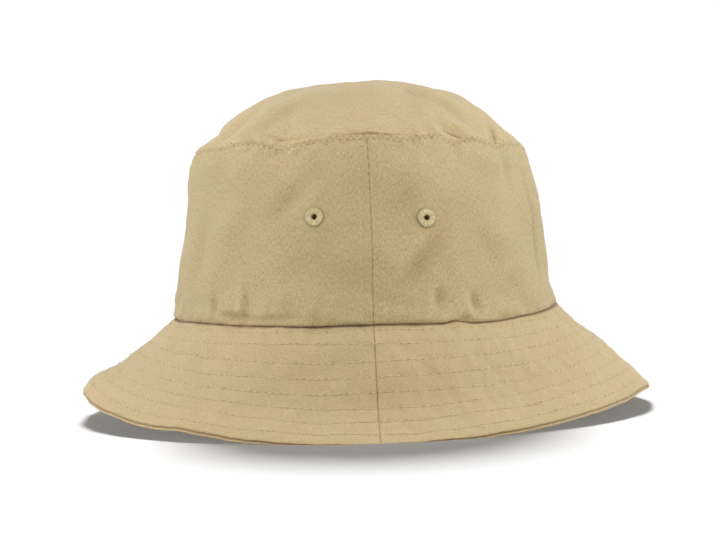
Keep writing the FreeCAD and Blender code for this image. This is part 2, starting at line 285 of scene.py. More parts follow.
# ---- relief: what sewing, stuffing and handling do to the cloth ----
# creases in the side wall: angle from the side seam, height above the brim seam, half length,
# half width, tilt from level in degrees, depth (a fold has a lip on its upper or left side)
WALL_CREASES = [
    (-25, 57, 15, 5.5, 33, 1.9),
    (-37.5, 10, 7, 2.2, 97, 1.9),
    (-50.5, 8, 6, 2.2, 95, 1.6),
    (-29, 3, 10, 2.0, 3, 1.3),
    (-41, 3.8, 8, 1.8, -3, 2.4),
    (-62, 30, 24, 7.0, 84, 1.5),
    (13, 27, 16, 4.4, 48, 2.5),
    (8, 54, 9, 4.0, 30, 0.9),
    (51.5, 73, 7, 3.6, 92, 1.3),
    (63, 40, 27, 3.0, 91, 2.0),
    (72, 62, 8, 4.0, 60, 1.8),
    (18.5, 11, 4.5, 2.8, 85, 1.6),
    (30, 9, 5.5, 2.6, 96, 1.9),
    (46, 18, 8, 4.0, 24, 1.4),
    (25, 52, 16, 8.0, 10, 1.2),
    (36, 35, 15, 7.0, -35, 1.2),
    (-12, 24, 20, 8.0, -20, 1.1),
    (-42, 40, 22, 8.0, 65, 1.2),
    (-55, 70, 14, 7.0, 20, 1.3),
    (38, 70, 10, 5.0, -15, 0.9),
]


def crease(across, along, width, length):
    """Down in the middle with a lip to one side."""
    x = across / width
    return (np.exp(-(x**2)) - 0.45 * np.exp(-((x - 1.6) ** 2))) * np.exp(-((along / length) ** 2))


def tilted(level, upright, tilt):
    """Distances across and along a line that leans by tilt, from distances on the level and upright."""
    c, s = math.cos(tilt), math.sin(tilt)
    return -level * s + upright * c, level * c + upright * s


def wall_creases(angle, height):
    total = np.zeros(np.shape(angle))
    for degrees, at, length, width, tilt, depth in WALL_CREASES:
        level = from_side_seam(angle, degrees) * CROWN_PER_RADIAN
        across, along = tilted(level, height - at, math.radians(tilt))
        total -= depth * crease(across, along, width, length)
    return total


def scattered_creases(angle, height, seed, count):
    """Creases in the parts of the wall away from the camera."""
    rng = np.random.default_rng(seed)
    total = np.zeros(np.shape(angle))
    for _ in range(count):
        level = from_side_seam(angle, rng.uniform(95, 265)) * CROWN_PER_RADIAN
        upright = height - rng.uniform(5, 80)
        across, along = tilted(level, upright, rng.uniform(0, math.pi))
        width = rng.uniform(3, 7)
        length = rng.uniform(8, 18)
        total -= rng.uniform(0.4, 1.1) * crease(across, along, width, length)
    return total


def stuffing(points):
    """Broad unevenness of the crown, the same on both sides of the tip seam."""
    return 0.8 * lumps(points, 75, 11) + 0.5 * lumps(points, 36, 12) + 0.2 * lumps(points, 17, 16)


def tip_seam_gather(points, distance):
    """The seam's pull on the cloth each side of it."""
    ripple = pucker(points, distance, 14, 7, 7, 0.4)
    ripple = ripple + 0.16 * lumps(points, 4.6, 17) * hump(distance - 2.0, 2.2)
    return ripple - 0.45 * hump(distance, 0.6) - 0.25 * hump(distance - TIP_ROW_OFFSET, 0.5)


def pucker(points, distance, seed, length=6.0, reach=7.0, depth=0.3):
    """Small ripples that a row of stitching draws into the cloth beside it."""
    return depth * lumps(points, length, seed) * np.exp(-distance / reach) * np.tanh(distance / 1.2 + 0.25)


def wall_relief(angle, up, points):
    height = up * WALL_HEIGHT
    below_tip = WALL_HEIGHT - height
    seam = near_seam_distance(angle)
    relief = stuffing(points) * np.clip(below_tip / 14, 0.3, 1)
    relief *= np.clip(height / 12, 0.25, 1)
    relief -= 1.9 * hump(abs(turned(angle, RIGHT_SEAM)) - math.pi / 2, 0.5) * hump(height - 24, 26)
    relief -= 1.5 * hump(turned(angle, math.pi), 0.5) * hump(height - 60, 16)     # hollow at the ends
    relief += wall_creases(angle, height) + scattered_creases(angle, height, 5, 26)
    relief += pucker(points, height, 13, 9, 9, 0.5) + tip_seam_gather(points, below_tip)
    relief += pucker(points, seam, 15, 8, 4, 0.10)
    relief += 0.9 * np.sin(angle) ** 2 * hump(height - 3.0, 4.0)      # hangs over the brim seam
    relief -= 0.5 * hump(height, 1.0)                                 # and turns in under itself
    relief += 0.18 * (1 - np.tanh((seam - 6.5) / 0.8)) / 2            # seam allowance behind the cloth
    relief -= 0.12 * hump(seam - SEAM_ROW_OFFSET, 0.6)
    relief -= 0.22 * hump(seam, 0.5)
    return relief


# broad creases of the tip: angle from the side seam, distance in from the tip seam, half length,
# half width, tilt, depth
TIP_CREASES = [
    (31, 5.0, 9, 2.6, -38, 1.4),
    (52, 5.0, 7, 2.2, 40, 1.5),
    (40, 20, 17, 5.5, -62, 2.3),
    (24, 24, 13, 6.0, 70, 1.6),
    (-36, 15, 17, 6.0, 58, 2.0),
    (-58, 9, 10, 4.0, 35, 1.6),
    (70, 11, 10, 4.0, -40, 1.7),
    (-12, 26, 22, 9.0, 8, 1.3),
    (110, 12, 14, 5.0, 30, 1.6),
    (170, 10, 12, 4.0, -10, 1.5),
    (-150, 12, 14, 5.0, 35, 1.6),
    (-90, 9, 12, 4.0, 15, 1.0),
    (180, 34, 20, 8.0, 60, 1.4),
    (90, 34, 20, 8.0, -50, 1.4),
]
# sharp folds where the tip hangs over its seam
TIP_FOLDS = [
    (1.5, 1.7, 10, 0.45, 1, 0.9),
    (31, 3.4, 6, 0.6, -34, 0.9),
    (-29, 3.2, 9, 0.6, -4, 0.5),
    (53, 3.6, 4, 0.6, 45, 0.7),
    (-160, 2.6, 9, 0.6, 2, 1.0),
    (120, 3.0, 8, 0.6, -6, 0.9),
]


def tip_crease_frame(angle, up, degrees, at, tilt):
    """Distances across and along a crease of the tip."""
    level = from_side_seam(angle, degrees) * TIP_PER_RADIAN * (1 - up)
    return tilted(level, up * TIP_HALF[1] - at, math.radians(tilt))


def tip_folds(angle, up):
    """Painted shade in the tip's sharp folds, 0 to about 1."""
    total = np.zeros(np.shape(angle))
    for degrees, at, length, width, tilt, depth in TIP_FOLDS:
        across, along = tip_crease_frame(angle, up, degrees, at, tilt)
        total += 0.7 * depth * hump(across, 0.8 * width) * hump(along, length)
    return total


def tip_creases(angle, up):
    total = np.zeros(np.shape(angle))
    for degrees, at, length, width, tilt, depth in TIP_CREASES + TIP_FOLDS:
        across, along = tip_crease_frame(angle, up, degrees, at, tilt)
        total -= depth * crease(across, along, width, length)
    return total


def tip_relief(angle, up, points):
    inward = up * TIP_HALF[1]
    relief = stuffing(points) * np.clip(inward / 14, 0.3, 1) + tip_seam_gather(points, inward)
    relief += tip_creases(angle, up)
    relief += 0.35 * hump(inward - 4.0, 2.5)
    return relief


def row_distance(from_crown):
    """Distance to the nearest of the brim's stitch rows."""
    nearest = np.clip(np.round((from_crown - FIRST_ROW) / ROW_SPACING), 0, BRIM_ROWS - 1)
    return from_crown - (FIRST_ROW + nearest * ROW_SPACING)


def brim_relief(angle, up, points):
    from_crown = (1 - up) * BRIM_WIDTH
    from_edge = BRIM_WIDTH - from_crown
    row = abs(row_distance(from_crown))
    relief = 0.5 * lumps(points, 60, 31) * np.clip(from_crown / 20, 0, 1) * np.clip(from_edge / 15, 0, 1)
    relief += 0.24 * lumps(points, 24, 32)
    relief -= 0.10 * hump(row, 1.0)
    relief += 0.16 * lumps(points, 5.0, 33) * np.exp(-row / 2.2)
    relief += 0.12 * lumps(points, 9, 34)
    relief -= 0.2 * hump(brim_seam_distance(angle, up), 0.45)
    relief -= 0.2 * hump(from_edge, 1.2)
    return relief * np.clip(0.4 + from_crown / 1.5, 0, 1)


def skin_of(base, relief_of):
    """A base shape with its relief raised along its normals."""

    def skin(angle, up):
        angle, up = np.broadcast_arrays(np.asarray(angle, float), np.asarray(up, float))
        points = base(angle, up)
        return points + normals(base, angle, up) * relief_of(angle, up, points)[..., None]

    return skin


wall_skin = skin_of(wall_base, wall_relief)
tip_skin = skin_of(tip_base, tip_relief)
brim_skin = skin_of(brim_base, brim_relief)


def on_table(points):
    """The brim's lowest edge is pressed flat where it bears on the table."""
    give = 0.4
    z = points[..., 2]
    pressed = np.where(z < 10, (z + np.sqrt(z**2 + give**2)) / 2, z)
    return np.concatenate([points[..., :2], pressed[..., None]], axis=-1)


def lay(skin, angle, up, out):
    """Points at a distance outwards from a skin."""
    angle, up = np.broadcast_arrays(np.asarray(angle, float), np.asarray(up, float))
    points = skin(angle, up) + normals(skin, angle, up) * np.asarray(out)[..., None]
    return on_table(points) if skin is brim_skin else points


# ---- meshes ----
def mesh_object(name, points, faces, material, uv=None, shade=None):
    """A smooth mesh from points in millimetres. shade is painted shade that darkens the material, or below
    0 painted light that lightens it.
    """
    mesh = bpy.data.meshes.new(name)
    mesh.from_pydata((np.asarray(points).reshape(-1, 3) * MM).tolist(), [], faces)
    mesh.update()
    for polygon in mesh.polygons:
        polygon.use_smooth = True
    if uv is not None:
        loops = np.empty(len(mesh.loops), np.int32)
        mesh.loops.foreach_get("vertex_index", loops)
        layer = mesh.uv_layers.new(name="cloth")
        layer.data.foreach_set("uv", np.asarray(uv).reshape(-1, 2)[loops].astype(np.float32).ravel())
    if shade is not None:
        attribute = mesh.attributes.new("shade", "FLOAT", "POINT")
        attribute.data.foreach_set("value", np.asarray(shade).ravel().astype(np.float32))
    mesh.materials.append(material)
    piece = bpy.data.objects.new(name, mesh)
    bpy.context.scene.collection.objects.link(piece)
    return piece


def sew(piece, node=None):
    """Make a piece part of the hat, and hide the CAD node that it stands for."""
    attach(piece, "hat")
    if node:
        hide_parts(node)


def grid_faces(columns, rows, keep=None):
    index = np.arange(columns * rows).reshape(columns, rows)
    quads = np.stack([index[:-1, :-1], index[1:, :-1], index[1:, 1:], index[:-1, 1:]], axis=-1)
    if keep is not None:
        quads = quads[keep]
    return quads.reshape(-1, 4)


def round_faces(index, after):
    """Faces between each line of points and the line after it."""
    quads = [index[:, :-1], after[:, :-1], after[:, 1:], index[:, 1:]]
    return np.stack(quads, axis=-1).reshape(-1, 4)


def closing_faces(quads, offset):
    """Faces that join each free edge of one side of a sheet to the other side."""
    edges = np.concatenate([quads[:, [k, (k + 1) % 4]] for k in range(4)])
    key = np.sort(edges, axis=1)
    _, first, counts = np.unique(key, axis=0, return_index=True, return_counts=True)
    free = edges[first[counts == 1]]
    return np.stack([free[:, 1], free[:, 0], free[:, 0] + offset, free[:, 1] + offset], axis=1)


def bordered(half, to_edge):
    """Half thickness of a sheet near its edge, which is rounded on both faces."""
    rounding = np.minimum(0.2, 0.95 * half)
    inset = np.clip(to_edge, 0, rounding)
    return half - rounding + np.sqrt(np.maximum(2 * rounding * inset - inset**2, 0))


def cloth(name, skin, angles, ups, depth, thickness, scale, material, uv_of, hole=None, shade=None):
    """A closed sheet of cloth with rounded edges, at a depth inside a skin. thickness is a function
    of angle and up. scale is (mm per radian, mm per share), to measure how near a point is to the
    sheet's edges."""
    a, up = np.meshgrid(angles, ups, indexing="ij")
    radius = thickness(a, up) / 2
    to_edge = np.minimum(up - ups[0], ups[-1] - up) * scale[1]
    if abs(angles[-1] - angles[0]) < TURN - 1e-6:
        to_edge = np.minimum(to_edge, np.minimum(a - angles[0], angles[-1] - a) * scale[0])
    half = bordered(radius, to_edge)
    deep = depth(a, up) if callable(depth) else depth
    middle = deep + radius
    base, n = skin(a, up), normals(skin, a, up)
    outer = base - n * (middle - half)[..., None]
    inner = base - n * (middle + half)[..., None]
    if skin is brim_skin:
        outer, inner = on_table(outer), on_table(inner)
    keep = None if hole is None else hole((outer[:-1, :-1] + outer[1:, 1:]) / 2)
    shades = np.zeros(a.shape) if shade is None else shade(a, up)
    return sheet_object(name, outer, inner, material, uv_of(a, up), shades, keep)


def sheet_object(name, outer, inner, material, uv, shade, keep=None):
    """A closed sheet from the points of its two faces. keep says which faces are not cut away."""
    columns, rows = outer.shape[:2]
    front = grid_faces(columns, rows, keep)
    back = front[:, ::-1] + columns * rows
    faces = np.concatenate([front, back, closing_faces(front, columns * rows)])
    points = np.concatenate([outer.reshape(-1, 3), inner.reshape(-1, 3)])
    return mesh_object(name, points, faces.tolist(), material, twice(uv), twice(shade))


def twice(values):
    """The same values for both faces of a sheet."""
    return np.concatenate([values, values])


def clustered(low, high, centres, offsets, spacing):
    """Even steps from low to high, with extra values at offsets each side of each centre."""
    steps = max(2, int(round((high - low) / spacing)))
    values = list(np.linspace(low, high, steps + 1))
    for centre in centres:
        for offset in offsets:
            values += [centre - offset, centre + offset]
    values = np.sort(np.array([v for v in values if low <= v <= high]))
    kept = [values[0]]
    for v in values[1:]:
        if v - kept[-1] > 0.35 * min(offsets + [spacing]) or v == values[-1]:
            kept.append(v)
    kept[-1] = high
    return np.array(kept)


# one stitch from needle hole to needle hole: place along it, height of its middle above the cloth,
# thickness as a share of the thread's, and how much it is painted dark as the needle hole's shade (painted
# shade; at the ends the thread swells into a dark bead)
STITCH_SHAPE = np.array([
    (-0.50, -0.34, 1.0, 1.0),
    (-0.455, -0.25, 1.5, 1.0),
    (-0.40, -0.22, 1.4, 0.9),
    (-0.35, -0.02, 0.85, 0.35),
    (-0.20, 0.10, 1.0, 0.0),
    (0.0, 0.15, 1.08, 0.0),
    (0.20, 0.10, 1.0, 0.0),
    (0.35, -0.02, 0.85, 0.35),
    (0.40, -0.22, 1.4, 0.9),
    (0.455, -0.25, 1.5, 1.0),
    (0.50, -0.34, 1.0, 1.0),
])


def unit(vectors):
    return vectors / np.linalg.norm(vectors, axis=-1, keepdims=True)


def tube_frame(line, out):
    """Two directions square to each line of points: to its side, and towards out."""
    tangent = unit(np.gradient(line, axis=1))
    side = unit(np.cross(tangent, out))
    return side, np.cross(side, tangent)


def tube_stitches(name, skin, path_angle, path_up, out, pitch=STITCH, seed=1, radius=THREAD, facing=1):
    """Separate stitches along a path on a skin: each rises from one needle hole and dives into the next."""
    rng = np.random.default_rng(seed)
    out_of = out if callable(out) else lambda angle, up: np.full(np.shape(angle), out)
    track = lay(skin, path_angle, path_up, out_of(path_angle, path_up))
    distance = np.concatenate([[0], np.cumsum(np.linalg.norm(np.diff(track, axis=0), axis=1))])
    count = int(distance[-1] / pitch)
    holes = (np.arange(count + 1) + rng.uniform(-0.06, 0.06, count + 1)) * distance[-1] / count
    starts, lengths = (holes[:-1] + holes[1:]) / 2, np.diff(holes) * 0.98
    profile, rise, slim, dark = STITCH_SHAPE.T
    along = starts[:, None] + profile[None, :] * lengths[:, None]
    angle = np.interp(along, distance, path_angle)
    up = np.interp(along, distance, path_up)
    up = up + rng.normal(0, 0.0012, count)[:, None]
    centre = skin(angle, up)
    n = normals(skin, angle, up)
    pull = rng.uniform(-0.06, 0.05, count)[:, None] * (1 - dark)
    centre = centre + n * (out_of(angle, up) + facing * (rise + pull))[..., None]
    # the dark beads of painted shade at the needle holes vary in size
    hole_size = rng.uniform(0.75, 1.15, count)[:, None] * dark + (1 - dark)
    return tubes(name, centre, n, slim * radius * hole_size, dark, thread, skin is brim_skin)


def tubes(name, centre, out, radius, dark, material, pressed=False):
    """Closed tubes, one for each row of centre points. dark is how much painted shade each ring has."""
    sides = 6
    side, top = tube_frame(centre, out)
    turn = np.arange(sides) * TURN / sides
    ring = (
        side[:, :, None, :] * np.cos(turn)[None, None, :, None]
        + top[:, :, None, :] * np.sin(turn)[None, None, :, None]
    )
    points = centre[:, :, None, :] + ring * np.broadcast_to(radius, centre.shape[:2])[:, :, None, None]
    if pressed:
        points = on_table(points)
    count, rings = centre.shape[:2]
    index = np.arange(count * rings * sides).reshape(count, rings, sides)
    quads = round_faces(index, np.roll(index, -1, axis=2))
    caps = np.concatenate([index[:, 0, ::-1], index[:, -1]])
    shade = np.broadcast_to(np.broadcast_to(dark, (count, rings))[:, :, None], index.shape)
    along = np.linspace(0, 1, rings)[None, :, None] + np.zeros((count, 1, sides))
    around = turn[None, None, :] / TURN + along * 0
    uv = np.stack([along * 2.0 + np.arange(count)[:, None, None] * 2.7, around], axis=-1)
    return mesh_object(name, points, quads.tolist() + caps.tolist(), material, uv, shade)


# ---- materials ----
def linear(red, green, blue):
    """Display colour, 0 to 255, as the linear colour that shaders take."""
    values = [v / 255 for v in (red, green, blue)]
    return tuple(v / 12.92 if v <= 0.04045 else ((v + 0.055) / 1.055) ** 2.4 for v in values) + (1,)


class Nodes:
    """A short way to write shader nodes."""

    def __init__(self, name):
        self.material = bpy.data.materials.new(name)
        self.material.use_nodes = True
        self.tree = self.material.node_tree
        self.shader = self.tree.nodes["Principled BSDF"]

    def add(self, kind, **settings):
        node = self.tree.nodes.new(kind)
        for key, value in settings.items():
            setattr(node, key, value)
        return node

    def put(self, socket, value):
        if isinstance(value, bpy.types.NodeSocket):
            self.tree.links.new(value, socket)
        else:
            socket.default_value = value

    def maths(self, operation, a, b=0.0, c=0.0):
        node = self.add("ShaderNodeMath", operation=operation)
        for socket, value in zip(node.inputs, (a, b, c)):
            self.put(socket, value)
        return node.outputs[0]

    def noise(self, vector, scale, detail=2.0, roughness=0.5):
        node = self.add("ShaderNodeTexNoise")
        self.put(node.inputs["Vector"], vector)
        node.inputs["Scale"].default_value = scale
        node.inputs["Detail"].default_value = detail
        node.inputs["Roughness"].default_value = roughness
        return node.outputs[0]

    def scaled(self, vector, factors):
        node = self.add("ShaderNodeVectorMath", operation="MULTIPLY")
        self.put(node.inputs[0], vector)
        node.inputs[1].default_value = factors
        return node.outputs[0]

    def mix(self, factor, a, b, blend="MIX"):
        node = self.add("ShaderNodeMix", data_type="RGBA", blend_type=blend)
        self.put(node.inputs["Factor"], factor)
        self.put(node.inputs["A"], a)
        self.put(node.inputs["B"], b)
        return node.outputs["Result"]

    def mix_numbers(self, a, b, share):
        return self.maths("ADD", self.maths("MULTIPLY", a, 1 - share), self.maths("MULTIPLY", b, share))

    def between(self, value, low, high, to_low=0.0, to_high=1.0):
        node = self.add("ShaderNodeMapRange")
        for key, number in (("From Min", low), ("From Max", high), ("To Min", to_low), ("To Max", to_high)):
            node.inputs[key].default_value = number
        self.put(node.inputs["Value"], value)
        return node.outputs[0]

    def bump(self, height, distance, strength):
        node = self.add("ShaderNodeBump")
        self.put(node.inputs["Height"], height)
        node.inputs["Distance"].default_value = distance
        node.inputs["Strength"].default_value = strength
        self.tree.links.new(node.outputs[0], self.shader.inputs["Normal"])


PAINTED_SHADE = linear(122, 78, 14)           # painted shade: the colour the cloth is mixed towards in its seams, creases, folds and round the eyelets


def woven(name, light, dark, ridge=0.62, steep=0.6, bump=0.5, contrast=1.0,
          fuzz_scale=(2.1, 1.15), fuzz_turn=0.6, warp_share=0.5, sheen=0.25):
    """Woven cloth. Its coordinates are in millimetres. Twill ridges are this far apart and lean by
    steep; uneven yarns run up (warp) and across, and loose fibres (fuzz) lie over them."""
    n = Nodes(name)
    place = n.add("ShaderNodeUVMap", uv_map="cloth").outputs[0]
    thing = n.add("ShaderNodeTexCoord").outputs["Object"]
    split = n.add("ShaderNodeSeparateXYZ")
    n.put(split.inputs[0], place)
    u, v = split.outputs[0], split.outputs[1]
    drift = n.noise(n.scaled(place, (0.12, 0.12, 0.0)), 1.0, 2.0)
    lean = n.maths("ADD", n.maths("MULTIPLY", u, math.cos(steep)), n.maths("MULTIPLY", v, math.sin(steep)))
    lean = n.maths("ADD", lean, n.maths("MULTIPLY", drift, 0.5))
    ridges = n.maths("SINE", n.maths("MULTIPLY", lean, TURN / ridge))
    picks = n.maths("SINE", n.maths("MULTIPLY", v, TURN / (ridge * 0.62)))
    ends = n.maths("SINE", n.maths("MULTIPLY", u, TURN / (ridge * 0.5)))
    warp_slub = n.noise(n.scaled(place, (1.5, 0.5, 1.0)), 1.0, 3.0, 0.65)
    weft_slub = n.noise(n.scaled(place, (0.2, 1.4, 1.0)), 1.0, 3.0, 0.65)
    turned_place = n.add("ShaderNodeVectorRotate", rotation_type="Z_AXIS")
    n.put(turned_place.inputs["Vector"], place)
    turned_place.inputs["Angle"].default_value = fuzz_turn
    fuzz = n.noise(n.scaled(turned_place.outputs[0], (*fuzz_scale, 1.0)), 1.0, 3.0, 0.8)
    crossings = n.maths("MULTIPLY", n.maths("MULTIPLY", picks, ends), 0.35)
    weave = n.maths("MULTIPLY_ADD", ridges, 0.5, crossings)
    height = n.maths("MULTIPLY_ADD", warp_slub, 1.5 * warp_share, weave)
    height = n.maths("MULTIPLY_ADD", weft_slub, 1.2 * (1 - warp_share), height)
    height = n.maths("MULTIPLY_ADD", fuzz, 2.4, height)
    n.bump(height, 0.00022, bump)
    patches = n.noise(thing, 1 / (34.0 * MM), 3.0, 0.6)
    colour = n.mix(n.between(patches, 0.35, 0.65), light, dark)
    yarns = n.mix_numbers(weft_slub, warp_slub, warp_share)
    yarns = n.mix_numbers(yarns, fuzz, 0.6)
    yarn_shade = n.between(yarns, 0.35, 0.65, 1 - 0.15 * contrast, 1 + 0.12 * contrast)
    weave_shade = n.between(weave, -0.8, 0.8, 1 - 0.05 * contrast, 1 + 0.05 * contrast)
    shade = n.add("ShaderNodeAttribute", attribute_name="shade").outputs["Fac"]
    # painted light: below 0 the shade attribute brightens the cloth, by up to half
    painted_light = n.between(shade, -1.0, 0.0, 1.5, 1.0)
    tone = n.maths("MULTIPLY", n.maths("MULTIPLY", yarn_shade, weave_shade), painted_light)
    grey = n.add("ShaderNodeCombineColor")
    for socket in grey.inputs[:3]:
        n.put(socket, tone)
    plain = n.mix(1.0, colour, grey.outputs[0], "MULTIPLY")
    # painted shade: above 0 the shade attribute mixes the colour towards the painted shade colour
    n.put(n.shader.inputs["Base Color"], n.mix(n.between(shade, 0.0, 1.0), plain, PAINTED_SHADE))
    n.put(n.shader.inputs["Roughness"], n.between(fuzz, 0.3, 0.7, 0.82, 0.95))
    n.shader.inputs["Sheen Weight"].default_value = sheen
    n.shader.inputs["Sheen Roughness"].default_value = 0.45
    n.shader.inputs["Specular IOR Level"].default_value = 0.25
    return n.material


def thread_material(name, colour, hole, sheen=0.15):
    """Twisted thread, painted towards hole, the painted shade of its needle holes, where the mesh's shade
    says so.
    """
    n = Nodes(name)
    place = n.add("ShaderNodeUVMap", uv_map="cloth").outputs[0]
    split = n.add("ShaderNodeSeparateXYZ")
    n.put(split.inputs[0], place)
    around = n.maths("MULTIPLY", split.outputs[1], TURN)
    twist = n.maths("ADD", n.maths("MULTIPLY", split.outputs[0], 9.0), around)
    ply = n.maths("SINE", twist)
    fibre = n.noise(n.scaled(place, (6.0, 14.0, 1.0)), 1.0, 2.0)
    n.bump(n.maths("MULTIPLY_ADD", fibre, 0.6, ply), 0.00006, 0.6)
    shade = n.add("ShaderNodeAttribute", attribute_name="shade").outputs["Fac"]
    along = n.mix(n.between(fibre, 0.3, 0.7), colour, tuple(0.86 * v for v in colour[:3]) + (1,))
    n.put(n.shader.inputs["Base Color"], n.mix(shade, along, hole))
    n.put(n.shader.inputs["Roughness"], n.between(fibre, 0.3, 0.7, 0.55, 0.75))
    n.shader.inputs["Sheen Weight"].default_value = sheen
    n.shader.inputs["Sheen Roughness"].default_value = 0.4
    n.shader.inputs["Specular IOR Level"].default_value = 0.3
    return n.material


KHAKI = linear(187, 168, 123)
KHAKI_WARM = linear(189, 167, 123)
wall_twill = woven("wall_twill", KHAKI, KHAKI_WARM, bump=0.75, contrast=2.7,
                   fuzz_scale=(2.4, 1.1), fuzz_turn=0.0, warp_share=0.95)
# painted light and shade: the tip's twill is the wall's khaki painted lighter, and the brim's painted a
# little darker, for how the light falls on them
brim_twill = woven("brim_twill", linear(186, 166, 123), linear(188, 165, 123), bump=0.6, contrast=1.8)
tip_twill = woven("tip_twill", linear(195, 175, 129), linear(197, 174, 129), bump=0.7, contrast=2.4)
drill = woven("sweatband_drill", linear(196, 176, 136), linear(190, 168, 128), ridge=0.8, bump=0.6)
tape_cloth = woven("bias_tape", linear(198, 180, 140), linear(192, 172, 132), ridge=0.5, steep=0.2)
interlining_cloth = woven("interlining_cloth", linear(214, 206, 186), linear(208, 198, 176), ridge=0.9)
satin = woven("label_satin", linear(236, 232, 220), linear(228, 222, 208), ridge=0.35, steep=1.3,
              sheen=0.5, bump=0.25)
# the second colour of each thread is painted shade for its needle holes
thread = thread_material("khaki_thread", linear(203, 185, 140), linear(92, 62, 18))
eyelet_thread = thread_material("eyelet_thread", linear(222, 208, 164), linear(132, 112, 66), 0.2)


# ---- cloth coordinates, in millimetres ----
def wall_uv(a, up):
    return np.stack([a * CROWN_PER_RADIAN, up * WALL_HEIGHT], axis=-1)


def tip_uv(a, up):
    return np.stack([TIP_HALF[0] * (1 - up) * np.cos(a), TIP_HALF[1] * (1 - up) * np.sin(a)], axis=-1)


def brim_uv(a, up):
    """The brim laid out flat is part of a ring, so its grain turns away from the edge."""
    opened = 0.78
    radius = BASE_HALF[0] / opened + (1 - up) * BRIM_WIDTH
    lean = (a - np.where(a > math.pi / 2, math.pi, 0)) * opened
    return np.stack([radius * np.sin(lean), radius * np.cos(lean)], axis=-1)


def even(thickness):
    return lambda a, up: np.full(np.shape(a), thickness)


# extra lines of points near an edge, and near a gathered seam, in mm from it
EDGE_OFFSETS = [0.04, 0.16, 0.4, 0.9, 1.8]
SEAM_OFFSETS = [0.05, 0.2, 0.45, 0.75, 1.1, 1.5, 1.9, 2.3, 2.7, 3.2, 3.8, 4.5, 5.2]


def shares(offsets, length):
    """Distances as shares of a length."""
    return [offset / length for offset in offsets]


def seam_columns(half, per_radian, spacing):
    """Angles from one seam to the other, closer together at both."""
    return clustered(half[0], half[1], half, shares(EDGE_OFFSETS, per_radian), spacing / per_radian)


# ---- crown ----
WALL_SCALE = (CROWN_PER_RADIAN, WALL_HEIGHT)


def wall_thickness(a, up):
    """Thicker beside the side seams, where the seam allowance lies behind the cloth."""
    return TWILL + 0.4 * (1 - np.tanh((near_seam_distance(a) - 8.0) / 0.6)) / 2


def eyelet_place(sign_x, sign_y):
    """Angle and share up the side wall of an eyelet; the two of a pair are a little out of level."""
    x, y, z = np.abs(EYELET_CENTRE)
    z += 0.9 * sign_x * sign_y
    angle = math.atan2(sign_y * y / BASE_HALF[1], sign_x * x / BASE_HALF[0])
    return angle, (z - BASE_Z) / (TIP_Z + TIP_SIDE_LIFT - BASE_Z)


def outside_eyelets(centres):
    """Which faces of the wall are left after the eyelets' holes are cut."""
    keep = np.ones(centres.shape[:-1], bool)
    for signs in EYELET_SIGNS:
        middle = wall_skin(*eyelet_place(*signs))
        keep &= np.linalg.norm(centres - middle, axis=-1) > WALL_HOLE
    return keep


def side_panel(name, node, half):
    """Half of the crown's side wall, between the two side seams."""
    angles = seam_columns(half, CROWN_PER_RADIAN, 1.05)
    ups = clustered(0.0, 1.0, [0.0, 1.0], shares(SEAM_OFFSETS, WALL_HEIGHT), 1.0 / WALL_HEIGHT)
    piece = cloth(name, wall_skin, angles, ups, 0.0, wall_thickness, WALL_SCALE, wall_twill, wall_uv,
                  hole=outside_eyelets, shade=wall_shade)
    sew(piece, node)


def wall_shade(a, up):
    """Painted shade in the seams and round the eyelets, painted light paler towards the top, and from the
    creases painted shade in their hollows and painted light on their lips.
    """
    height = up * WALL_HEIGHT
    # painted shade in the grooves of the side seams, in dashes a stitch long, and below in the grooves of
    # the brim seam and the tip seam
    shade = (0.34 + 0.25 * np.sin(TURN * height / STITCH)) * hump(near_seam_distance(a), 0.24)
    shade = np.maximum(shade, 0.7 * hump(height, 0.5))
    shade = np.maximum(shade, 0.2 * hump(WALL_HEIGHT - height, 0.5))
    # painted shadow round the rim of each eyelet
    surface = wall_base(a, up)
    for signs in EYELET_SIGNS:
        middle = wall_base(*eyelet_place(*signs))
        to_rim = np.linalg.norm(surface - middle, axis=-1) - EYELET_RADIUS
        shade = np.maximum(shade, 0.12 * hump(to_rim, 0.7))
    painted_light = 0.15 * hump(WALL_HEIGHT - height - 2.0, 19.0)          # painted light, paler towards the top
    # creases: painted shade in their hollows and painted light on their lips
    return np.where(shade > 0.02, shade, -painted_light) - 0.07 * wall_creases(a, height)


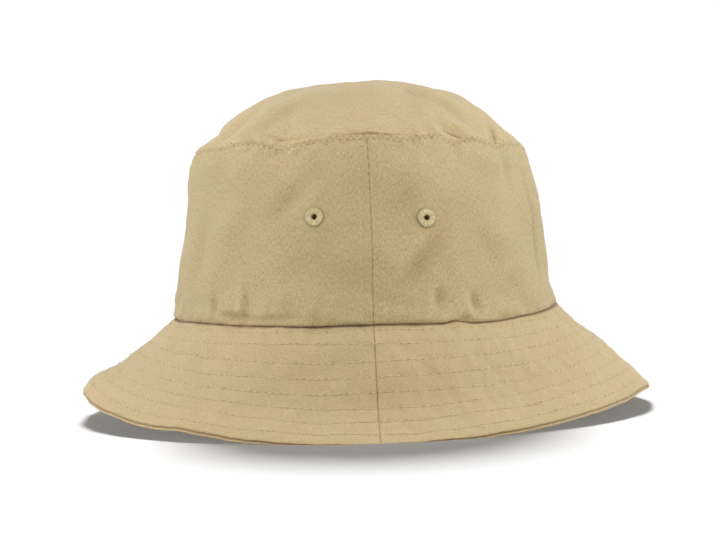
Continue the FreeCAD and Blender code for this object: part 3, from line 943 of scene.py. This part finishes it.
def crown_tip():
    """The domed top: rings of faces on both sides of the cloth, each closed by a fan in the middle."""
    columns = 500
    angles = np.linspace(-math.pi, math.pi, columns + 1)
    ups = clustered(0.0, 0.985, [0.0], shares(SEAM_OFFSETS, TIP_HALF[1]), 1.1 / TIP_HALF[1])
    a, up = np.meshgrid(angles[:-1], ups, indexing="ij")
    radius = TWILL / 2
    half = bordered(radius, up * TIP_HALF[1])
    base, n = tip_skin(a, up), normals(tip_skin, a, up)
    sides = [base - n * (radius - half)[..., None], base - n * (radius + half)[..., None]]
    middle = a.size                                 # the number of each side's middle point
    points, faces = [], []
    for side, order in zip(sides, (1, -1)):
        first = sum(len(part) for part in points)
        points += [side.reshape(-1, 3), side[:, -1].mean(axis=0)[None]]
        index = first + np.arange(a.size).reshape(a.shape)
        after = np.roll(index, -1, axis=0)
        fan = np.stack([index[:, -1], after[:, -1], np.full(columns, first + middle)], axis=-1)
        faces += round_faces(index, after)[:, ::order].tolist() + fan[:, ::order].tolist()
    rim = np.arange(columns) * len(ups)
    after = np.roll(rim, -1)
    faces += np.stack([after, rim, rim + middle + 1, after + middle + 1], axis=-1).tolist()
    uv = np.concatenate([tip_uv(a, up).reshape(-1, 2), [[0, 0]]])
    # painted shade in the tip seam's groove and the sharp folds; from the creases painted shade in hollows
    # and painted light on lips
    shade = 0.2 * hump(up * TIP_HALF[1], 0.5) - 0.06 * tip_creases(a, up) + tip_folds(a, up)
    shade = np.concatenate([shade.ravel(), [0]])
    points = np.concatenate(points)
    piece = mesh_object("crown_tip_cloth", points, faces, tip_twill, twice(uv), twice(shade))
    sew(piece, "crown_tip")


# ---- brim ----
def row_up(row):
    """How far up the brim a row of stitches is."""
    return 1 - (FIRST_ROW + row * ROW_SPACING) / BRIM_WIDTH


def brim_rows_ups(low, high):
    """Places up the brim, closer together at the stitch rows and at both edges."""
    offsets = shares((0.001, 0.5, 1.0, 1.7), BRIM_WIDTH)
    centres = [row_up(row) for row in range(BRIM_ROWS)]
    edges = shares(EDGE_OFFSETS, BRIM_WIDTH)
    ups = clustered(low, high, centres, offsets, 1.5 / BRIM_WIDTH)
    extra = [low + o for o in edges] + [high - o for o in edges]
    return np.unique(np.round(np.concatenate([ups, extra]), 6))


def folded_edges(plain, folded, allowance=7.0):
    """Thickness of a brim cloth: double where its allowance is turned under, at the edge and side seams."""

    def thickness(a, up):
        to_fold = np.minimum(up * BRIM_WIDTH, brim_seam_distance(a, up))
        return plain + (folded - plain) * (1 - np.tanh((to_fold - allowance) / 0.5)) / 2

    return thickness


def brim_shade(a, up):
    """Painted shade along the stitch rows and seams, under the crown and along the edge, and painted light
    paler towards the edge.
    """
    from_crown = (1 - up) * BRIM_WIDTH
    # painted shade along the stitch rows, the brim's side seams, under the crown's overhang and along the
    # edge
    shade = 0.03 * hump(row_distance(from_crown), 0.6)
    shade = np.maximum(shade, 0.45 * hump(brim_seam_distance(a, up), 0.26))
    shade = np.maximum(shade, 0.75 * hump(from_crown, 0.55))
    shade = np.maximum(shade, 0.4 * hump(up * BRIM_WIDTH, 0.4))
    # painted light: a paler band inside the edge
    return shade - 0.09 * hump(up * BRIM_WIDTH - 9.0, 12.0)


upper_thickness = folded_edges(*BRIM_UPPER)
under_thickness = folded_edges(*BRIM_LOWER)


def brim_cloth(name, half, low, beyond, depth, thickness, material=brim_twill, spacing=1.25,
               shade=brim_shade):
    """One cloth of half the brim, from low mm inside its edge to some way beyond the brim seam."""
    angles = seam_columns(half, BRIM_PER_RADIAN, spacing)
    ups = brim_rows_ups(low / BRIM_WIDTH, 1.0 + beyond / BRIM_WIDTH)
    scale = (BRIM_PER_RADIAN, BRIM_WIDTH)
    return cloth(name, brim_skin, angles, ups, depth, thickness, scale, material, brim_uv, shade=shade)


def brim():
    """Each half is an upper and a lower cloth with an interlining between them."""
    for side, half in (("front", FRONT), ("rear", REAR)):
        upper = brim_cloth(f"brim_upper_{side}", half, 0.0, BRIM_ALLOWANCE, 0.0, upper_thickness)
        lower = brim_cloth(f"brim_lower_{side}", half, -UNDER_SHOWS, 0.0, BRIM_UNDER_DEPTH,
                           under_thickness)
        clear_of_seams = (half[0] + 0.08, half[1] - 0.08)
        stiffener = brim_cloth(f"brim_stiffener_{side}", clear_of_seams, 8.0, 0.0, 0.6, even(0.4),
                               interlining_cloth, 3.0, None)
        sew(upper, f"brim_top_{side}")
        sew(lower, f"brim_under_{side}")
        sew(stiffener, f"brim_interlining_{side}")


def brim_underside(angle, up):
    """How far out from the brim's skin its lower face is."""
    return -BRIM_UNDER_DEPTH - under_thickness(angle, up)


def brim_stitches():
    """Rows of lockstitch: needle thread on top, bobbin thread below, each row a little uneven."""
    angle = np.linspace(-math.pi, math.pi, 1600)
    for row in range(BRIM_ROWS):
        name = f"brim_row_{row + 1}"
        shift = 0.35 * np.sin(angle * 3 + row * 1.7) + 0.2 * np.sin(angle * 7 + row * 2.9)
        path = row_up(row) + shift / BRIM_WIDTH
        needle = tube_stitches(f"{name}_needle", brim_skin, angle, path, 0.0, seed=row + 40)
        bobbin = tube_stitches(f"{name}_bobbin", brim_skin, angle, path, brim_underside,
                               seed=row + 60, facing=-1)
        sew(needle, f"brim_stitch_row_{row + 1}")
        sew(bobbin)


# ---- crown stitching ----
def tip_seam_stitches():
    """A row each side of the tip seam, and the bobbin thread inside."""
    angle = np.linspace(-math.pi, math.pi, 1400)
    tip_up = angle * 0 + TIP_ROW_OFFSET / TIP_HALF[1]
    wall_up = angle * 0 + 1 - TIP_ROW_OFFSET / WALL_HEIGHT
    inner_up = angle * 0 + 1 - 3.2 / WALL_HEIGHT
    above = tube_stitches("tip_seam_needle_above", tip_skin, angle, tip_up, 0.0,
                          pitch=TIP_STITCH, seed=81, radius=THREAD * 1.2)
    below = tube_stitches("tip_seam_needle_below", wall_skin, angle, wall_up, 0.0,
                          pitch=TIP_STITCH, seed=82, radius=THREAD * 1.3)
    bobbin = tube_stitches("tip_seam_bobbin", wall_skin, angle, inner_up, -1.48, seed=83, facing=-1)
    sew(above, "tip_seam_stitch_above")
    sew(below, "tip_seam_stitch_below")
    sew(bobbin)


def side_seam_stitches():
    """A row each side of both side seams. Inside, they show between the sweatband and the crown tape."""
    up = np.linspace(1.2 / WALL_HEIGHT, 1 - 2.4 / WALL_HEIGHT, 200)
    inner_up = np.linspace(36.0 / WALL_HEIGHT, 1 - 14.5 / WALL_HEIGHT, 200)
    for side, seam in SIDE_SEAMS:
        for row, offset in ((1, -SEAM_ROW_OFFSET), (2, SEAM_ROW_OFFSET)):
            angle = up * 0 + seam + offset / CROWN_PER_RADIAN
            needle = tube_stitches(f"side_seam_{side}_needle_{row}", wall_skin, angle, up, -0.04,
                                   seed=90 + row, radius=THREAD * 0.85)
            bobbin = tube_stitches(f"side_seam_{side}_bobbin_{row}", wall_skin, angle, inner_up, -1.42,
                                   seed=94 + row, facing=-1)
            sew(needle, f"side_seam_stitch_{side}" if row == 1 else None)
            sew(bobbin)


# ---- eyelets ----
def spokes(turn, n):
    """Directions at each angle round an axis n."""
    east = unit(np.cross([0, 0, 1], n))
    north = np.cross(n, east)
    return np.cos(turn)[:, None, None] * east + np.sin(turn)[:, None, None] * north


def eyelet(name, sign_x, sign_y):
    """Satin stitch worked round a small hole: a thread for each radial stitch over a padded ring."""
    place = eyelet_place(sign_x, sign_y)
    centre = wall_skin(*place)
    n = normals(wall_skin, *place)
    rng = np.random.default_rng(7 + sign_x + 2 * sign_y)
    stitches = 46
    turn = np.arange(stitches) * TURN / stitches + rng.normal(0, 0.012, stitches)
    outer = EYELET_RADIUS * rng.uniform(1.00, 1.13, stitches)      # their ends dive into the cloth
    inner = EYELET_HOLE * rng.uniform(0.96, 1.04, stitches)
    steps = np.linspace(0, 1, 11)
    reach = inner[:, None] + (outer - inner)[:, None] * steps
    out = np.sin(steps * math.pi) ** 0.6 * 0.6 - 0.05
    width = 0.13 + 0.20 * steps
    # painted shade where each thread dives into the cloth, with a random darker tone on some threads
    dark = np.maximum(np.abs(steps * 2 - 1) ** 2.2, rng.uniform(0.0, 0.5, stitches)[:, None])
    for facing, depth, suffix, node in ((1, 0.0, "", name), (-1, -TWILL, "_back", None)):
        line = centre + spokes(turn, n) * reach[..., None] + n * (depth + facing * out)[None, :, None]
        threads = tubes(f"{name}_threads{suffix}", line, n, width, dark, eyelet_thread)
        sew(threads, node)
    sew(eyelet_ring(f"{name}_padding", centre, n))


def eyelet_ring(name, centre, n):
    """The padded ring and lining under an eyelet's stitches."""
    turns, sections = 48, 16
    around = np.arange(turns) * TURN / turns
    section = np.arange(sections) * TURN / sections
    middle, half_width, half_height = 2.75, 1.5, 0.72
    reach = middle + half_width * np.cos(section)
    out = -TWILL / 2 + half_height * np.sin(section)
    points = centre + spokes(around, n) * reach[None, :, None] + n * out[None, :, None]
    index = np.arange(turns * sections).reshape(turns, sections)
    after = np.roll(index, -1, axis=0)
    quads = np.stack([index, after, np.roll(after, -1, axis=1), np.roll(index, -1, axis=1)], axis=-1)
    uv = np.stack(np.meshgrid(around * 3, section, indexing="ij"), axis=-1)
    # painted shade: the padding under the stitches is mixed halfway to the thread's hole colour
    shade = np.full(index.shape, 0.5)
    return mesh_object(name, points, quads.reshape(-1, 4).tolist(), eyelet_thread, uv, shade)


# ---- inside ----
WHOLE = (-math.pi + 0.002, math.pi - 0.002)         # all the way round, with a gap at the rear seam
WALL_EDGES = shares(EDGE_OFFSETS, WALL_HEIGHT)


def sweatband():
    """A band of drill inside the crown, with a row of stitches along its lower edge."""
    low = 0.1 / WALL_HEIGHT                         # just above the brim seam
    high = (sweat_high[2] - BASE_Z) / WALL_HEIGHT

    def depth(a, up):
        """It stands off the wall more towards its free upper edge, in slack waves."""
        return 1.5 + (0.4 + 0.25 * np.sin(a * 5 + 1)) * (up - low) / (high - low)

    ups = clustered(low, high, [low, high, low + 0.03], WALL_EDGES, 1.6 / WALL_HEIGHT)
    band = cloth("sweatband_cloth", wall_skin, np.linspace(*WHOLE, 420), ups, depth, even(0.75),
                 WALL_SCALE, drill, wall_uv)
    angle = np.linspace(*WHOLE, 1200)
    hem_up = angle * 0 + 2.4 / WALL_HEIGHT
    hem = tube_stitches("sweatband_hem_needle", wall_skin, angle, hem_up, -2.29, seed=71, facing=-1)
    sew(band, "sweatband")
    sew(hem, "sweatband_stitch")


def tapes():
    """Bias tape over the tip seam, and over each side seam under it."""
    below_seam, above_seam = 13.3, 0.7
    ups = np.linspace(1 - below_seam / WALL_HEIGHT, 1 + above_seam / WALL_HEIGHT, 16)
    low_edge = [ups[0] + offset for offset in WALL_EDGES[:4]]
    high_edge = [ups[-1] - offset for offset in WALL_EDGES[:4]]
    ups = np.unique(np.concatenate([ups, low_edge, high_edge]))
    tape = cloth("crown_tape_cloth", wall_skin, np.linspace(*WHOLE, 420), ups, 1.12, even(0.35),
                 WALL_SCALE, tape_cloth, wall_uv)
    sew(tape, "crown_seam_tape")
    half_width = 6 / CROWN_PER_RADIAN
    ups = np.linspace(0.5 / WALL_HEIGHT, 1 - 10 / WALL_HEIGHT, 50)
    for side, seam in SIDE_SEAMS:
        angles = seam_columns((seam - half_width, seam + half_width), CROWN_PER_RADIAN, 1.2)
        strip = cloth(f"side_tape_{side}_cloth", wall_skin, angles, ups, 1.05, even(0.3),
                      WALL_SCALE, tape_cloth, wall_uv)
        sew(strip, f"side_seam_tape_{side}")


def brand_label():
    """A blank satin patch, sewn round its border."""
    half = (brand_high[1] - brand_low[1]) / 2 / TIP_HALF[1]
    low, high = (np.array([brand_low[2], brand_high[2]]) - BASE_Z) / WALL_HEIGHT
    ups = clustered(low, high, [low, high], WALL_EDGES[:4], 1.0 / WALL_HEIGHT)
    angles = seam_columns((math.pi - half, math.pi + half), CROWN_PER_RADIAN, 1.0)
    patch = cloth("brand_label_patch", wall_skin, angles, ups, TWILL + 0.1, even(0.35),
                  (LABEL_PER_RADIAN, WALL_HEIGHT), satin, wall_uv)
    inset = 1.2
    left = math.pi - half + inset / LABEL_PER_RADIAN
    right = math.pi + half - inset / LABEL_PER_RADIAN
    low, high = low + inset / WALL_HEIGHT, high - inset / WALL_HEIGHT
    corners = [(left, low), (right, low), (right, high), (left, high), (left, low)]
    path = np.concatenate([np.linspace(p, q, 40) for p, q in zip(corners, corners[1:])])
    border = tube_stitches("brand_label_border", wall_skin, path[:, 0], path[:, 1], -TWILL - 0.48,
                           pitch=2.2, seed=75, facing=-1)
    sew(patch, "brand_label")
    sew(border)


def care_label():
    """A strip of satin with a turned hem, which hangs from the sweatband's lower seam."""
    width = care_high[1] - care_low[1]
    length = care_high[2] - care_low[2]
    x = (care_low[0] + care_high[0]) / 2
    top = care_high[2] - 0.35
    s, y = np.meshgrid(np.linspace(0, 1, 60), np.linspace(-width / 2, width / 2, 24), indexing="ij")
    drop = s * (length - 0.5)
    curl = 1.6 * np.sin(s * 2.4) * s + 0.25 * np.sin(y * 0.35) * s
    middle = np.stack([x + curl, y, top - drop], axis=-1)
    half = np.array([1, 0, 0]) * (0.17 + 0.12 * hump(1 - s, 0.05))[..., None]
    label = sheet_object("care_label_loop", middle - half, middle + half, satin,
                         np.stack([y, drop], axis=-1), np.zeros(s.shape))
    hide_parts("care_label")
    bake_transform(label)


# ---- studio ----
FLOOR_RADIUS = 4000.0
SCREEN_RADIUS = 3900.0
SCREEN_HEIGHT = 4000.0
ROUND = 96                                      # sides of the floor and of the screen


def circle(radius, height):
    turn = np.arange(ROUND) * TURN / ROUND
    return np.stack([radius * np.cos(turn), radius * np.sin(turn), np.full(ROUND, height)], axis=-1)


def studio():
    """A white paper floor, and far round it a screen that only the camera sees."""
    paper = Nodes("floor_paper")
    paper.shader.inputs["Base Color"].default_value = (0.97, 0.97, 0.97, 1)
    paper.shader.inputs["Roughness"].default_value = 0.9
    paper.shader.inputs["Specular IOR Level"].default_value = 0.1
    floor = mesh_object("floor", circle(FLOOR_RADIUS, 0.0), [tuple(range(ROUND))], paper.material)
    glow = Nodes("white_screen")
    glow.shader.inputs["Base Color"].default_value = (0, 0, 0, 1)
    glow.shader.inputs["Specular IOR Level"].default_value = 0.0
    glow.shader.inputs["Emission Color"].default_value = (1, 1, 1, 1)
    glow.shader.inputs["Emission Strength"].default_value = 1.05
    points = np.concatenate([circle(SCREEN_RADIUS, 0.0), circle(SCREEN_RADIUS, SCREEN_HEIGHT)])
    faces = [(k, (k + 1) % ROUND, (k + 1) % ROUND + ROUND, k + ROUND) for k in range(ROUND)]
    screen = mesh_object("screen", points, faces, glow.material)
    screen.visible_diffuse = False
    screen.visible_glossy = False
    screen.visible_shadow = False
    return floor


HAT_MIDDLE = (0, 0, 0.08)


def look(direction, roll=0.0):
    """The turn that points a lamp or camera along a direction."""
    aim = Vector(direction).to_track_quat("-Z", "Y").to_matrix()
    return aim @ Matrix.Rotation(roll, 3, "Z")


def add_light(name, kind, power, direction):
    light = bpy.data.objects.new(name, bpy.data.lights.new(name, kind))
    bpy.context.scene.collection.objects.link(light)
    light.data.energy = power
    light.rotation_euler = look(direction).to_euler()
    return light


def lamp(name, place, power):
    """A round soft box beside the hat, pointed at it."""
    light = add_light(name, "AREA", power, np.array(HAT_MIDDLE) - np.array(place))
    light.data.shape = "DISK"
    light.data.size = 0.8
    light.location = place
    light.visible_camera = False
    return light


def daylight(name, direction, strength, spread):
    """Even light from one side of the studio, as wide as spread in degrees."""
    light = add_light(name, "SUN", strength, direction)
    light.data.angle = math.radians(spread)
    return light


def link_to_floor(light, floor, state):
    """A light that falls on the floor alone (INCLUDE), or on all but the floor (EXCLUDE)."""
    group = bpy.data.collections.new(f"{light.name}_{state.lower()}")
    group.objects.link(floor)
    group.collection_objects[0].light_linking.link_state = state
    light.light_linking.receiver_collection = group


def lights(floor):
    """Soft light on the hat from all round, and on the floor alone light from above and behind."""
    world = bpy.data.worlds.new("studio")
    world.use_nodes = True
    background = world.node_tree.nodes["Background"]
    background.inputs["Color"].default_value = (1, 1, 1, 1)
    background.inputs["Strength"].default_value = 0.1
    bpy.context.scene.world = world
    for_hat = [
        daylight("sky", (0.0, 0.1, -1.0), 1.5, 175),
        daylight("overhead", (0.0, 0.3, -1.0), 1.2, 60),
        daylight("front", (0.0, 1.0, -0.12), 1.1, 70),
        daylight("back", (0.0, -1.0, -0.12), 1.1, 70),
        lamp("side_left", (-1.6, 0.1, 0.45), 12.5),
        lamp("side_right", (1.6, 0.0, 0.45), 13.5),
    ]
    for light in for_hat:
        link_to_floor(light, floor, "EXCLUDE")
    link_to_floor(daylight("behind", (0.0, -0.83, -1.0), 3.4, 18), floor, "INCLUDE")
    even_light = daylight("even", (0.0, 0.0, -1.0), 0.5, 5)
    even_light.data.use_shadow = False
    even_light.data.color = (0.92, 0.95, 1.0)
    link_to_floor(even_light, floor, "INCLUDE")


def camera():
    """A long lens level with the side wall, tilted a little down."""
    azimuth, pitch, roll = math.radians(-2.1), math.radians(-3.03), math.radians(1.8)
    yaw = math.radians(0.164)
    distance, height = 0.9, 0.116
    data = bpy.data.cameras.new("camera")
    data.sensor_width = 36.0
    data.lens = 87.3
    data.clip_start = 0.05
    eye = bpy.data.objects.new("camera", data)
    bpy.context.scene.collection.objects.link(eye)
    eye.location = (distance * math.sin(azimuth), -distance * math.cos(azimuth), height)
    heading = azimuth + yaw
    aim = (-math.sin(heading) * math.cos(pitch), math.cos(heading) * math.cos(pitch), math.sin(pitch))
    eye.rotation_euler = look(aim, -roll).to_euler()
    bpy.context.scene.camera = eye
    bpy.context.scene.view_settings.view_transform = "Standard"


side_panel("wall_cloth_front", "side_panel_front", FRONT)
side_panel("wall_cloth_rear", "side_panel_rear", REAR)
crown_tip()
brim()
brim_stitches()
tip_seam_stitches()
side_seam_stitches()
for side_name, sign_y in (("right", -1), ("left", 1)):
    eyelet(f"eyelet_{side_name}_front", 1, sign_y)
    eyelet(f"eyelet_{side_name}_rear", -1, sign_y)
sweatband()
tapes()
brand_label()
care_label()
lights(studio())
camera()
